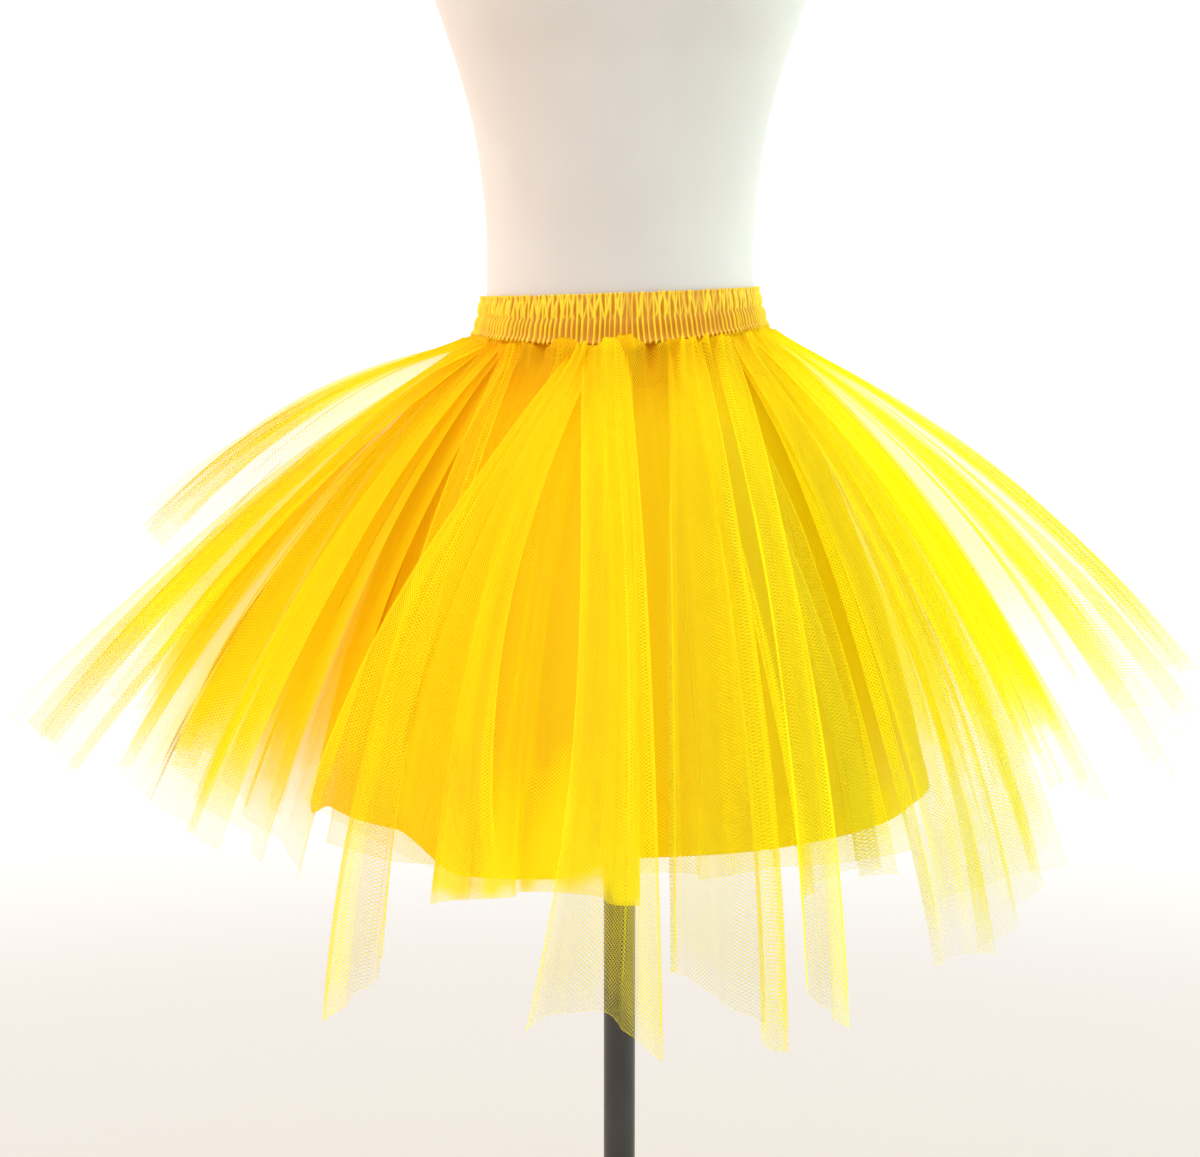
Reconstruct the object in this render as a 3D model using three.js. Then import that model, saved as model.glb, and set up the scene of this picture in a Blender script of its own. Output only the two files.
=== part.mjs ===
// A tulle skirt on a limbless dress form and its stand, in millimetres, +Z up.
// The origin is the centre of the stand's underside, the wearer's front faces -Y and their left side is +X.
// Azimuths are in degrees round the body: 0 at the front, 90 at +X, 180 at the back and -90 at -X.

import * as THREE from "three";

// Heights of the main parts above the floor, and how the band sits.
const BAND_TOP = 1000;
const BAND_HEIGHT = 42;
const BAND_TILT = 0.036; // rise for each millimetre towards +X
const SIDE_RISE = 11; // the lower edge of the band is this much higher at the sides
const SEAM_GAP = 0.3;
const ROOT_Z = BAND_TOP - BAND_HEIGHT - SEAM_GAP; // where the lining and the tulle hang from

// Cloth walls, and how the sheets are stacked under the band.
const CLOTH_WALL = 1.0;
const FIRST_SHEET_AT = 1.7; // from the form to the middle of the lining
const SHEET_PITCH = 1.65; // from one sheet to the next at the band

// Every sheet leaves the band hanging down and turns outwards within the elbow.
const ELBOW = 12;
const HANG_ANGLE = 84;
const FALL_LENGTH = 500; // the length over which a sheet's angle is given

// Big waves that all the layers share. They grow from the lining out to the top layer.
const SHARED_WAVE_DEPTH = 20;
const SHARED_WAVES = [
  { count: 7, share: 0.55, turn: 40 },
  { count: 12, share: 0.45, turn: 120 },
];

// The dress form, from its underside to its neck: half width, and depth before and behind its axis.
const FORM_SECTIONS = [
  { z: 750, side: 154, front: 96, back: 114 },
  { z: 800, side: 157, front: 98, back: 118 },
  { z: 860, side: 147, front: 96, back: 111 },
  { z: 910, side: 131, front: 92, back: 99 },
  { z: 956, side: 118.5, front: 88.5, back: 88 },
  { z: 1000, side: 115.5, front: 87, back: 85 },
  { z: 1045, side: 115, front: 87, back: 84 },
  { z: 1090, side: 118.5, front: 91, back: 87 },
  { z: 1140, side: 126, front: 97, back: 93 },
  { z: 1187, side: 138, front: 106, back: 98 },
  { z: 1226, side: 151, front: 117, back: 102 },
  { z: 1262, side: 163, front: 122, back: 105 },
  { z: 1300, side: 168, front: 114, back: 107 },
  { z: 1345, side: 167, front: 96, back: 107 },
  { z: 1385, side: 160, front: 80, back: 101 },
  { z: 1412, side: 138, front: 69, back: 89 },
  { z: 1434, side: 98, front: 60, back: 73 },
  { z: 1450, side: 66, front: 55, back: 60 },
  { z: 1485, side: 57, front: 51, back: 54 },
];
const RINGS_UNDER_BAND = [933, 945, 967, 978, 989, 1022]; // extra rings, so that the cloth sits evenly
const FORM_COLUMNS = 36;
const BUST = { z: 1252, spread: 34, at: 36, width: 24, depth: 13, sideways: 4 };

// The stand under the form. The base is turned from its underside, round its rim and hub, into the socket.
const POLE = { radius: 14, facets: 24 };
const BASE_FACETS = 32;
const SOCKET_FLOOR = 18;
const BASE_PROFILE = [
  { radius: 0, z: 0 },
  { radius: 190, z: 0 },
  { radius: 190, z: 9 },
  { radius: 184, z: 13 },
  { radius: 39, z: 20 },
  { radius: 27, z: 30 },
  { radius: 23, z: 58 },
  { radius: POLE.radius + SEAM_GAP, z: 58 },
  { radius: POLE.radius + SEAM_GAP, z: SOCKET_FLOOR },
  { radius: 0, z: SOCKET_FLOOR },
];

// The shirred waistband: rows from its lower edge up, thickness outside the form, and depth of its gathers.
const BAND_CLEARANCE = 0.5;
const BAND_GATHERS = 72;
const BAND_ROWS = [
  { up: 0, thick: 12.2, gather: 0.7 },
  { up: 4, thick: 7.4, gather: 0.5 },
  { up: 12, thick: 6.6, gather: 1.3 },
  { up: 22, thick: 4.4, gather: 0.5 },
  { up: 30, thick: 5.6, gather: 1.2 },
  { up: 38, thick: 4.2, gather: 0.5 },
  { up: BAND_HEIGHT, thick: 5.2, gather: 1.0 },
];

// How each layer falls: its angle below the horizontal past the elbow, and at FALL_LENGTH, on four sides.
const LAYER_COLUMNS = ["front", "right", "back", "left", "frontEnd", "rightEnd", "backEnd", "leftEnd"];
const LAYERS = [
  [62, 60, 60, 60, 86, 83, 84, 83],
  [58, 54.5, 55, 54, 84.5, 78.5, 80, 78],
  [54.4, 49, 50, 48, 83, 74, 76, 72.5],
  [50.8, 43.5, 45, 42, 81.5, 69.5, 72, 67],
  [47.2, 38.5, 40, 35, 80, 65, 68, 60],
  [43.6, 33.5, 35, 30, 78.5, 60, 64, 48.5],
  [40, 28, 30, 10, 77, 54, 60, 64],
].map((row) => named(LAYER_COLUMNS, row));

// The opaque lining, in a front and a back half.
const LINING = { length: 430, wave: 3.5, waves: 5, sideSeam: 0.3 };

// Where the lining's hem drops or rises: it is shorter at the left of the front and dips beside the middle.
const LINING_HEM = [
  { from: -84, to: -70, change: -16 },
  { from: -46, to: -30, change: 30 },
  { from: -12, to: 2, change: -14 },
];

// The tulle panels. Each is gathered from one azimuth to the other at the band and fans out to its hem.
// "left" and "right" are the azimuths of its hem corners, with the length of cloth down to each of them,
// and "middle" is how much lower the hem hangs between them.
const ROWS = [0, ELBOW, 60, 0.3, 0.55, 0.8, 1]; // millimetres, then shares of the length
const COLUMNS_PER_FOLD = 4;
const PANEL_COLUMNS = [
  "name", "layer", "from", "to", "left", "right", "longLeft", "longRight", "middle", "folds", "deep",
];
const PANELS = [
  ["tulle_1_front", 1, -56, 60, -53, 51, 447, 464, -10, 6, 6],
  ["tulle_1_back", 1, 70, 286, 66, 292, 440, 440, -20, 9, 7],
  ["tulle_2_right", 2, 46, 88, 45, 84, 557, 520, 25, 4, 9],
  ["tulle_2_back", 2, 124, 236, 122, 238, 470, 475, -35, 6, 9],
  ["tulle_2_left", 2, -118, -44, -118, -48, 450, 478, -35, 5, 9],
  ["tulle_3_centre", 3, -24, 4, -26, 2.4, 482, 474, -12, 3, 6],
  ["tulle_3_front", 3, 20, 37, 24, 37.4, 482, 482, -10, 3, 6],
  ["tulle_3_right", 3, 56, 104, 57.6, 112, 458, 490, -35, 5, 11],
  ["tulle_3_left", 3, -104, -50, -112, -49, 480, 478, -35, 5, 11],
  ["tulle_4_front", 4, 18, 32, 6.7, 19.6, 532, 602, -8, 3, 7],
  ["tulle_4_right", 4, 46, 66, 38.3, 55.5, 515, 528, -5, 3, 7],
  ["tulle_4_back", 4, 140, 210, 138, 212, 490, 505, -40, 5, 11],
  ["tulle_4_left", 4, -100, -52, -100, -50, 405, 487, 12, 3, 8],
  ["tulle_4_front_left", 4, -48, -40, -34, -29, 588, 531, 0, 2, 4],
  ["tulle_5_front_left", 5, -18, -8, -37, -14.2, 438, 468, 8, 4, 7],
  ["tulle_5_front_right", 5, 36, 46, 20.4, 24.6, 560, 600, 0, 2, 4],
  ["tulle_5_right", 5, 58, 76, 50, 62, 475, 505, -15, 3, 7],
  ["tulle_5_back_right", 5, 92, 132, 92, 136, 500, 530, -30, 4, 12],
  ["tulle_5_back_left", 5, -150, -114, -154, -112, 500, 520, -30, 4, 12],
  ["tulle_5_left", 5, -102, -60, -98, -61.3, 548, 498, -30, 4, 12],
  ["tulle_6_front", 6, -14, 2, -9.2, 4.1, 584, 606, -25, 3, 8],
  ["tulle_6_right", 6, 66, 104, 64, 100, 530, 505, -35, 4, 12],
  ["tulle_6_back", 6, 156, 186, 152, 190, 520, 500, -30, 4, 12],
  ["tulle_6_left", 6, -116, -60, -112, -54, 350, 330, -15, 4, 12],
].map((row) => named(PANEL_COLUMNS, row));

// Edges of panels that bow sideways between the band and the hem, in degrees half way down.
const BOWED_EDGES = {
  tulle_5_front_left: { left: 0, right: -4.5 },
  tulle_6_front: { left: 4, right: 0 },
};

const FINISHES = {
  form: { color: 0xf1ece2, roughness: 0.85 },
  stand: { color: 0x2b2826, roughness: 0.45, metalness: 0.3 },
  satin: { color: 0xe8b422, roughness: 0.4 },
  lining: { color: 0xf5c800, roughness: 0.55 },
  tulle: { color: 0xffe21f, roughness: 0.7 },
};

const radians = THREE.MathUtils.degToRad;

// Row of a table with its column names.
function named(columns, row) {
  return Object.fromEntries(columns.map((column, index) => [column, row[index]]));
}

// Closed body from rings of points, listed from its lower end up, each ring counter-clockwise from above.
function loft(rings) {
  const columns = rings[0].length;
  const points = rings.flat();
  const faces = [];
  for (let row = 0; row + 1 < rings.length; row += 1) {
    for (let column = 0; column < columns; column += 1) {
      const a = row * columns + column;
      const b = row * columns + ((column + 1) % columns);
      faces.push([a, b, b + columns], [a, b + columns, a + columns]);
    }
  }
  const lastRing = (rings.length - 1) * columns;
  const lowCentre = points.push(centreOf(rings[0])) - 1;
  const highCentre = points.push(centreOf(rings.at(-1))) - 1;
  for (let column = 0; column < columns; column += 1) {
    const next = (column + 1) % columns;
    faces.push([lowCentre, next, column], [highCentre, lastRing + column, lastRing + next]);
  }
  return geometryOf(points, faces);
}

function centreOf(ring) {
  const sum = ring.reduce((total, point) => total.add(point), new THREE.Vector3());
  return sum.divideScalar(ring.length);
}

// Closed ring whose cross-section is a loop of points, one loop for each azimuth.
function hoop(sections) {
  const rows = sections[0].length;
  const faces = [];
  sections.forEach((section, column) => {
    const next = (column + 1) % sections.length;
    for (let row = 0; row < rows; row += 1) {
      const above = (row + 1) % rows;
      const a = column * rows + row;
      const b = next * rows + row;
      const c = next * rows + above;
      const d = column * rows + above;
      faces.push([a, b, c], [a, c, d]);
    }
  });
  return geometryOf(sections.flat(), faces);
}

// Sheet of cloth: at(u, row) gives the middle of the wall, and the wall is half its thickness to each side.
function sheet(at, columns, rows) {
  const step = 1e-3; // share of the sheet over which its slope is taken
  const outer = [];
  const inner = [];
  for (let row = 0; row <= rows; row += 1) {
    for (let column = 0; column <= columns; column += 1) {
      const u = column / columns;
      const middle = at(u, row);
      const along = at(Math.min(u + step, 1), row).sub(at(Math.max(u - step, 0), row));
      const down = at(u, Math.min(row + step, rows)).sub(at(u, Math.max(row - step, 0)));
      const normal = down.cross(along).normalize().multiplyScalar(CLOTH_WALL / 2);
      outer.push(middle.clone().add(normal));
      inner.push(middle.clone().sub(normal));
    }
  }
  const wide = columns + 1;
  const offset = outer.length;
  const faces = [];
  const quad = (a, b, c, d) => faces.push([a, b, c], [a, c, d]);
  for (let row = 0; row < rows; row += 1) {
    for (let column = 0; column < columns; column += 1) {
      const a = row * wide + column;
      quad(a, a + wide, a + wide + 1, a + 1);
      quad(offset + a, offset + a + 1, offset + a + wide + 1, offset + a + wide);
    }
    const left = row * wide;
    const right = left + columns;
    quad(left, offset + left, offset + left + wide, left + wide);
    quad(right, right + wide, offset + right + wide, offset + right);
  }
  for (let column = 0; column < columns; column += 1) {
    const low = rows * wide + column;
    quad(column, column + 1, offset + column + 1, offset + column);
    quad(low, offset + low, offset + low + 1, low + 1);
  }
  return geometryOf([...outer, ...inner], faces);
}

function geometryOf(points, faces) {
  const geometry = new THREE.BufferGeometry().setFromPoints(points);
  geometry.setIndex(faces.flat());
  return geometry;
}

// Smooth value between the form's sections at a height.
function formSize(z, key) {
  const last = FORM_SECTIONS.length - 1;
  const inside = THREE.MathUtils.clamp(z, FORM_SECTIONS[0].z, FORM_SECTIONS[last].z);
  const above = Math.max(1, FORM_SECTIONS.findIndex((section) => section.z >= inside));
  const at = (index) => FORM_SECTIONS[THREE.MathUtils.clamp(index, 0, last)];
  const [before, low, high, after] = [-2, -1, 0, 1].map((shift) => at(above + shift));
  const span = high.z - low.z;
  const share = (inside - low.z) / span;
  const lowSlope = ((high[key] - before[key]) / (high.z - before.z)) * span;
  const highSlope = ((after[key] - low[key]) / (after.z - low.z)) * span;
  const square = share * share;
  const cube = square * share;
  return (
    low[key] * (2 * cube - 3 * square + 1) +
    lowSlope * (cube - 2 * square + share) +
    high[key] * (3 * square - 2 * cube) +
    highSlope * (cube - square)
  );
}

// Point on the form, or clear of it by a distance, at an azimuth and a height.
function formPoint(azimuth, z, clear = 0) {
  const turn = radians(azimuth);
  const depth = formSize(z, Math.cos(turn) > 0 ? "front" : "back");
  const bell = (distance, width) => Math.exp(-((distance / width) ** 2));
  const bust =
    bell(z - BUST.z, BUST.spread) *
    (bell(azimuth - BUST.at, BUST.width) + bell(azimuth + BUST.at, BUST.width));
  return new THREE.Vector3(
    (formSize(z, "side") + clear + BUST.sideways * bust) * Math.sin(turn),
    -(depth + clear + BUST.depth * bust) * Math.cos(turn),
    z,
  );
}

// A layer's angle at an azimuth, blended smoothly between the four sides.
function angleAt(layer, azimuth, end = "") {
  const angles = LAYERS[layer];
  const turn = radians(azimuth);
  const sideways = Math.sin(turn) ** 2;
  const side = angles[(Math.sin(turn) > 0 ? "right" : "left") + end];
  const facing = angles[(Math.cos(turn) > 0 ? "front" : "back") + end];
  return radians(side * sideways + facing * (1 - sideways));
}

// Arc that starts at an angle below the horizontal and bends by an angle for each millimetre.
function arc(from, bend, length) {
  const to = from + bend * length;
  return {
    run: (Math.sin(to) - Math.sin(from)) / bend,
    drop: (Math.cos(from) - Math.cos(to)) / bend,
    angle: to,
  };
}

// How far out and down a layer is after a length of cloth, and its angle there.
function fall(layer, azimuth, length) {
  const hang = radians(HANG_ANGLE);
  const start = angleAt(layer, azimuth);
  const end = angleAt(layer, azimuth, "End");
  const elbowBend = (start - hang) / ELBOW;
  const elbow = arc(hang, elbowBend, Math.min(length, ELBOW));
  if (length <= ELBOW) return elbow;
  const rest = arc(start, (end - start) / FALL_LENGTH, length - ELBOW);
  return { run: elbow.run + rest.run, drop: elbow.drop + rest.drop, angle: rest.angle };
}

// Waves that every layer shares, deeper in the layers further out.
function sharedWave(layer, azimuth, length) {
  const turn = radians(azimuth);
  const sum = SHARED_WAVES.reduce(
    (total, wave) => total + wave.share * Math.cos(wave.count * turn + radians(wave.turn)),
    0,
  );
  const grown = Math.max(0, length - ELBOW) / FALL_LENGTH;
  return (SHARED_WAVE_DEPTH * layer * sum * grown) / (LAYERS.length - 1);
}

// Rise of the tilted band at an azimuth, carried on by what hangs a distance outside it.
function tiltAt(azimuth, out = 0) {
  return BAND_TILT * (formSize(ROOT_Z, "side") + out) * Math.sin(radians(azimuth));
}

// Rise of the band's lower edge towards the sides.
function riseAt(azimuth) {
  return SIDE_RISE * Math.sin(radians(azimuth)) ** 2;
}

// Point of a layer at an azimuth, after a length of cloth, lifted off it by a fold.
function drape(layer, azimuth, length, fold) {
  const turn = radians(azimuth);
  const { run, drop, angle } = fall(layer, azimuth, length);
  const lift = fold + sharedWave(layer, azimuth, length);
  const out = FIRST_SHEET_AT + SHEET_PITCH * layer + run + lift * Math.sin(angle);
  const rootZ = ROOT_Z + riseAt(azimuth);
  const side = formSize(rootZ + tiltAt(azimuth), "side") + out;
  const depth = formSize(rootZ + tiltAt(azimuth), Math.cos(turn) > 0 ? "front" : "back") + out;
  const z = rootZ - drop + lift * Math.cos(angle) + tiltAt(azimuth, run);
  return new THREE.Vector3(side * Math.sin(turn), -depth * Math.cos(turn), z);
}

// Mean distance from the axis at a place on a layer, which turns a width of cloth into degrees.
function girthRadius(layer, azimuth, length) {
  const { run } = fall(layer, azimuth, length);
  const middle = (formSize(ROOT_Z, "side") + formSize(ROOT_Z, "front")) / 2;
  return middle + FIRST_SHEET_AT + SHEET_PITCH * layer + run;
}

// Rows are listed in millimetres down to the first bend, then as shares of the sheet's length.
function lengthAtRow(row, long) {
  const at = (index) => (ROWS[index] > 1 ? ROWS[index] : ROWS[index] * long);
  const low = Math.min(Math.floor(row), ROWS.length - 2);
  return THREE.MathUtils.lerp(at(low), at(low + 1), row - low);
}

// Rounded fold across a sheet, which starts at the elbow and deepens downwards.
function foldAt(folds, deep, u, length) {
  return (deep * Math.cos(2 * Math.PI * folds * u) * Math.max(0, length - ELBOW)) / FALL_LENGTH;
}

// The side edges run straight from the band to the hem corners.
function panelGeometry(panel) {
  const { lerp } = THREE.MathUtils;
  const rootRadius = girthRadius(panel.layer, panel.from, 0);
  const bow = BOWED_EDGES[panel.name] ?? { left: 0, right: 0 };
  const at = (u, row) => {
    const long = lerp(panel.longLeft, panel.longRight, u) + panel.middle * 4 * u * (1 - u);
    const length = lengthAtRow(row, long);
    const hem = lerp(panel.left, panel.right, u);
    const spent = (run) => 1 - rootRadius / girthRadius(panel.layer, hem, run);
    const straight = lerp(lerp(panel.from, panel.to, u), hem, spent(length) / spent(long));
    const down = length / long;
    const azimuth = straight + lerp(bow.left, bow.right, u) * 4 * down * (1 - down);
    return drape(panel.layer, azimuth, length, foldAt(panel.folds, panel.deep, u, length));
  };
  return sheet(at, panel.folds * COLUMNS_PER_FOLD, ROWS.length - 1);
}

function liningLength(azimuth) {
  const changes = LINING_HEM.map(
    (step) => step.change * THREE.MathUtils.smoothstep(azimuth, step.from, step.to),
  );
  return changes.reduce((total, change) => total + change, LINING.length + riseAt(azimuth));
}

// Half of the lining, from one side seam to the other. Its hem stays level under the band's raised sides.
function liningGeometry(from, to) {
  const seam = THREE.MathUtils.radToDeg(LINING.sideSeam / formSize(ROOT_Z, "side"));
  const at = (u, row) => {
    const azimuth = THREE.MathUtils.lerp(from + seam, to - seam, u);
    const length = lengthAtRow(row, liningLength(azimuth));
    return drape(0, azimuth, length, foldAt(LINING.waves, LINING.wave, u, length));
  };
  return sheet(at, LINING.waves * COLUMNS_PER_FOLD, ROWS.length - 1);
}

function waistbandGeometry() {
  const columns = BAND_GATHERS * 2;
  const point = (azimuth, up, thick) => {
    const raised = riseAt(azimuth) * (1 - up / BAND_HEIGHT);
    return formPoint(azimuth, BAND_TOP - BAND_HEIGHT + up + raised + tiltAt(azimuth), thick);
  };
  const sections = Array.from({ length: columns }, (_, column) => {
    const azimuth = (360 * column) / columns;
    const ridge = column % 2 ? -1 : 1;
    return [
      ...BAND_ROWS.map((row) => point(azimuth, row.up, row.thick + ridge * row.gather)),
      ...[BAND_HEIGHT, 0].map((up) => point(azimuth, up, BAND_CLEARANCE)),
    ];
  });
  return hoop(sections);
}

function formGeometry() {
  const heights = [...FORM_SECTIONS.map((section) => section.z), ...RINGS_UNDER_BAND];
  const rings = heights.sort((low, high) => low - high).map((z) =>
    Array.from({ length: FORM_COLUMNS }, (_, column) =>
      formPoint((360 * column) / FORM_COLUMNS - 180, z),
    ),
  );
  return loft(rings);
}

function poleGeometry() {
  const low = SOCKET_FLOOR + SEAM_GAP;
  const high = FORM_SECTIONS[0].z - SEAM_GAP;
  const pole = new THREE.CylinderGeometry(POLE.radius, POLE.radius, high - low, POLE.facets);
  return pole.rotateX(Math.PI / 2).translate(0, 0, (low + high) / 2);
}

function baseGeometry() {
  const profile = BASE_PROFILE.map(({ radius, z }) => new THREE.Vector2(radius, z));
  return new THREE.LatheGeometry(profile, BASE_FACETS).rotateX(Math.PI / 2);
}

function part(name, geometry, finish) {
  const mesh = new THREE.Mesh(geometry, new THREE.MeshStandardMaterial(FINISHES[finish]));
  mesh.name = name;
  return mesh;
}

const skirt = new THREE.Group();
skirt.add(
  part("waistband", waistbandGeometry(), "satin"),
  part("lining_front", liningGeometry(-90, 90), "lining"),
  part("lining_back", liningGeometry(90, 270), "lining"),
  ...PANELS.map((panel) => part(panel.name, panelGeometry(panel), "tulle")),
);

const stand = new THREE.Group();
stand.add(
  part("form_torso", formGeometry(), "form"),
  part("stand_pole", poleGeometry(), "stand"),
  part("stand_base", baseGeometry(), "stand"),
);

const dressed = new THREE.Group();
dressed.add(skirt, stand);

export default dressed;
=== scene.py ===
import math

import bpy
import numpy as np
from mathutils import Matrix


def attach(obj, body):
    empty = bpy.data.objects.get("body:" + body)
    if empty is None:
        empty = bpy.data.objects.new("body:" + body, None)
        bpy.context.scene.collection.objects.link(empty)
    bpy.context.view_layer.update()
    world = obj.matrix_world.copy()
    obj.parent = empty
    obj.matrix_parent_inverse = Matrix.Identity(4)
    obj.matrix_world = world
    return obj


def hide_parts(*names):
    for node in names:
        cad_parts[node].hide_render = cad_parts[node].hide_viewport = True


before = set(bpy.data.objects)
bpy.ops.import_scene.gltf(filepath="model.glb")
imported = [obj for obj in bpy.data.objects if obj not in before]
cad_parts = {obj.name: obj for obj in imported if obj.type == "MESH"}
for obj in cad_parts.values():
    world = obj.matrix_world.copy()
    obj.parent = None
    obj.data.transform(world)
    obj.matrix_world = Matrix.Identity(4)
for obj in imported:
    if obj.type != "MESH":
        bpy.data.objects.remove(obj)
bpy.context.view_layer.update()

bl_info = {
    "name": "Tulle skirt on a dress form",
    "version": (1, 0, 0),
    "blender": (4, 5, 0),
    "location": "3D View > Sidebar > Skirt",
    "description": "Builds a shirred tulle skirt on a limbless dress form, with its studio",
    "category": "Add Mesh",
}

# How the band sits, and where the sheets hang from it.
BAND_TOP = 1000
BAND_HEIGHT = 42
BAND_TILT = 0.036
SIDE_RISE = 11
SEAM_GAP = 0.3
ROOT_Z = BAND_TOP - BAND_HEIGHT - SEAM_GAP
FIRST_SHEET_AT = 1.7
SHEET_PITCH = 1.65
ELBOW = 12
HANG_ANGLE = 84
FALL_LENGTH = 500
SHARED_WAVE_DEPTH = 20
SHARED_WAVES = ((7, 0.55, 40), (12, 0.45, 120))  # count, share, turn

WAIST_RADIUS = 103  # of a circle as long as the waistband

# The form's half width, and its depth before and behind its axis, at each height.
FORM_SECTIONS = np.array(
    [
        # z, side, front, back
        (750, 154, 96, 114),
        (800, 157, 98, 118),
        (860, 147, 96, 111),
        (910, 131, 92, 99),
        (956, 118.5, 88.5, 88),
        (1000, 115.5, 87, 85),
        (1045, 115, 87, 84),
        (1090, 118.5, 91, 87),
        (1140, 126, 97, 93),
        (1187, 138, 106, 98),
        (1226, 151, 117, 102),
        (1262, 163, 122, 105),
        (1300, 168, 114, 107),
        (1345, 167, 96, 107),
        (1385, 160, 80, 101),
        (1412, 138, 69, 89),
        (1434, 98, 60, 73),
        (1450, 66, 55, 60),
        (1485, 57, 51, 54),
    ],
    dtype=float,
)
SIDE, FRONT, BACK = 1, 2, 3  # the columns after the height
BUST = {"z": 1252, "spread": 34, "at": 36, "width": 24, "depth": 13, "sideways": 4}

# The stand.
POLE_RADIUS = 14
SOCKET_FLOOR = 18
BASE_PROFILE = (
    # radius, z, rounding
    (0, 0, 0),
    (190, 0, 1.0),
    (190, 9, 2.0),
    (184, 13, 3.0),
    (39, 20, 8.0),
    (27, 30, 5.0),
    (23, 58, 1.2),
    (14.3, 58, 0.6),
    (14.3, SOCKET_FLOOR, 0),
    (0, SOCKET_FLOOR, 0),
)

# Each layer's angle below the horizontal past the elbow, and at FALL_LENGTH, on the four sides.
LAYERS = (
    # front, right, back, left, then the same at FALL_LENGTH
    (62, 60, 60, 60, 86, 83, 84, 83),
    (58, 54.5, 55, 54, 84.5, 78.5, 80, 78),
    (54.4, 49, 50, 48, 83, 74, 76, 72.5),
    (50.8, 43.5, 45, 42, 81.5, 69.5, 72, 67),
    (47.2, 38.5, 40, 35, 80, 65, 68, 60),
    (43.6, 33.5, 35, 30, 78.5, 60, 64, 48.5),
    (40, 28, 30, 10, 77, 54, 60, 64),
)

# The lining, and the azimuths over which its hem changes, with the change in length.
LINING_LENGTH = 430
LINING_WAVE = 3.5
LINING_WAVES = 5
LINING_WIDTH = 0.82  # of the cloth of one half, in metres
LINING_TURNING = 9  # how deep its hem is turned up
LINING_HEM = ((-84, -70, -16), (-46, -30, 30), (-12, 2, -14))

# How finely each kind of piece is divided, in points across and down.
FORM_COLUMNS, FORM_LINES = 128, 150
BAND_COLUMNS, BAND_LINES = 1700, 36
LINING_COLUMNS, LINING_LINES = 200, 80
PANEL_LINES = 114
PANEL_LINES_CROWD = 1.35  # above 1, the lines lie closer together near the band
FEWEST_COLUMNS, MOST_COLUMNS = 60, 300
HEM_STEP, HEM_STEP_BEHIND = 2.2, 3.4  # millimetres of a panel's hem for each column

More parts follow.
